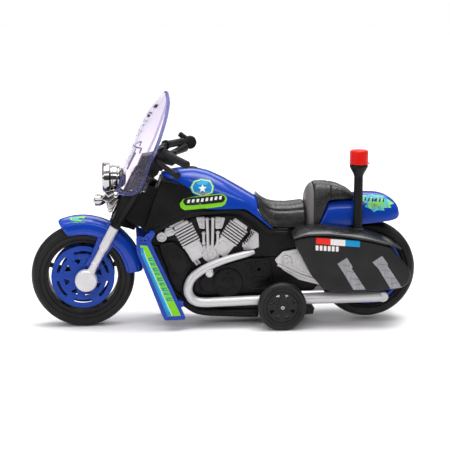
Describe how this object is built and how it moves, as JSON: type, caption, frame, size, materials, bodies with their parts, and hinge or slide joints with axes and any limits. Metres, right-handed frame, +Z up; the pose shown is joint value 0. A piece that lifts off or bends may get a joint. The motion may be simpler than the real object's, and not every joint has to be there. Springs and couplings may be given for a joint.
{
  "type": "toy motorcycle",
  "caption": "Police touring motorcycle toy with steered front fork, spinning wheels and a friction motor geared to two small side wheels.",
  "frame": {"origin": "on the floor, under the centre of the bounding box", "axes": "+Z up, the machine faces -X, its left side is -Y"},
  "size_m": [0.212, 0.0764, 0.1283],
  "materials": {
    "black_plastic": "black moulded plastic, satin",
    "blue_plastic": "glossy blue moulded plastic",
    "silver_paint": "silver sprayed plastic",
    "chrome_plastic": "vacuum-plated plastic, bright",
    "clear_violet": "clear plastic with a violet tint",
    "clear_lens": "clear plastic lens",
    "tyre_black": "black soft plastic",
    "seat_grain": "black plastic with a leather grain",
    "red_cap": "translucent red plastic",
    "steel": "bright steel",
    "white_gear": "white moulded gear plastic"
  },
  "bodies": {
    "chassis": {"body_left": "black_plastic", "body_right": "black_plastic", "body_screw_1": "steel", "body_screw_2": "steel", "tank_cover": "blue_plastic", "fuel_cap": "black_plastic", "seat": "seat_grain", "pillion_pad": "seat_grain", "rear_fender": "blue_plastic", "engine_left": "silver_paint", "engine_right": "silver_paint", "crankcase_cover_left": "black_plastic", "crankcase_cover_right": "black_plastic", "front_cover_left": "black_plastic", "front_cover_right": "black_plastic", "exhaust_left": "silver_paint", "exhaust_right": "silver_paint", "leg_guard_left": "blue_plastic", "leg_guard_right": "blue_plastic", "saddlebag_left": "black_plastic", "saddlebag_right": "black_plastic", "bag_lid_left": "black_plastic", "bag_lid_right": "black_plastic", "beacon_post": "black_plastic", "beacon_cap": "red_cap", "beacon_bulb": "clear_lens", "swing_plate_left": "silver_paint", "swing_plate_right": "silver_paint", "rear_axle": "steel", "belly_step": "black_plastic", "motor_case_left": "black_plastic", "motor_case_right": "black_plastic"},
    "front_fork": {"fork_crown": "black_plastic", "fork_leg_left": "silver_paint", "fork_leg_right": "silver_paint", "front_axle": "steel", "front_fender": "blue_plastic", "headlight_shell": "chrome_plastic", "headlight_lens": "clear_lens", "spot_lens": "clear_lens", "windshield": "clear_violet", "handlebar": "black_plastic", "mirror_right": "black_plastic"},
    "front_wheel": {"front_tyre": "tyre_black", "front_disc_left": "blue_plastic", "front_disc_right": "blue_plastic"},
    "rear_wheel": {"rear_tyre": "tyre_black", "rear_rim": "blue_plastic"},
    "drive_wheels": {"drive_axle": "steel", "drive_gear": "white_gear", "side_wheel_left": "black_plastic", "side_wheel_right": "black_plastic"},
    "idler": {"idler_gear": "white_gear"},
    "flywheel_unit": {"flywheel": "steel", "flywheel_pinion": "white_gear"}
  },
  "joints": [
    {"name": "steering", "type": "hinge", "parent": "chassis", "child": "front_fork", "pos_m": [-0.05093, 0, 0.05803], "axis": [0.4745, 0, 0.8803], "range_deg": [-14, 14]},
    {"name": "front_wheel_spin", "type": "hinge", "parent": "front_fork", "child": "front_wheel", "pos_m": [-0.0778, 0, 0.0282], "axis": [0, -1, 0], "continuous": true},
    {"name": "rear_wheel_spin", "type": "hinge", "parent": "chassis", "child": "rear_wheel", "pos_m": [0.079, 0, 0.0295], "axis": [0, -1, 0], "continuous": true},
    {"name": "drive_axle_spin", "type": "hinge", "parent": "chassis", "child": "drive_wheels", "pos_m": [0.0296, 0, 0.0132], "axis": [0, -1, 0], "continuous": true},
    {"name": "idler_spin", "type": "hinge", "parent": "chassis", "child": "idler", "pos_m": [0.0268, 0, 0.02107], "axis": [0, -1, 0], "continuous": true},
    {"name": "flywheel_spin", "type": "hinge", "parent": "chassis", "child": "flywheel_unit", "pos_m": [0.0298, 0, 0.02939], "axis": [0, -1, 0], "continuous": true}
  ],
  "couplings": [
    {"joint": "idler_spin", "follows": "drive_axle_spin", "ratio": -2},
    {"joint": "flywheel_spin", "follows": "drive_axle_spin", "ratio": 4.3636}
  ]
}
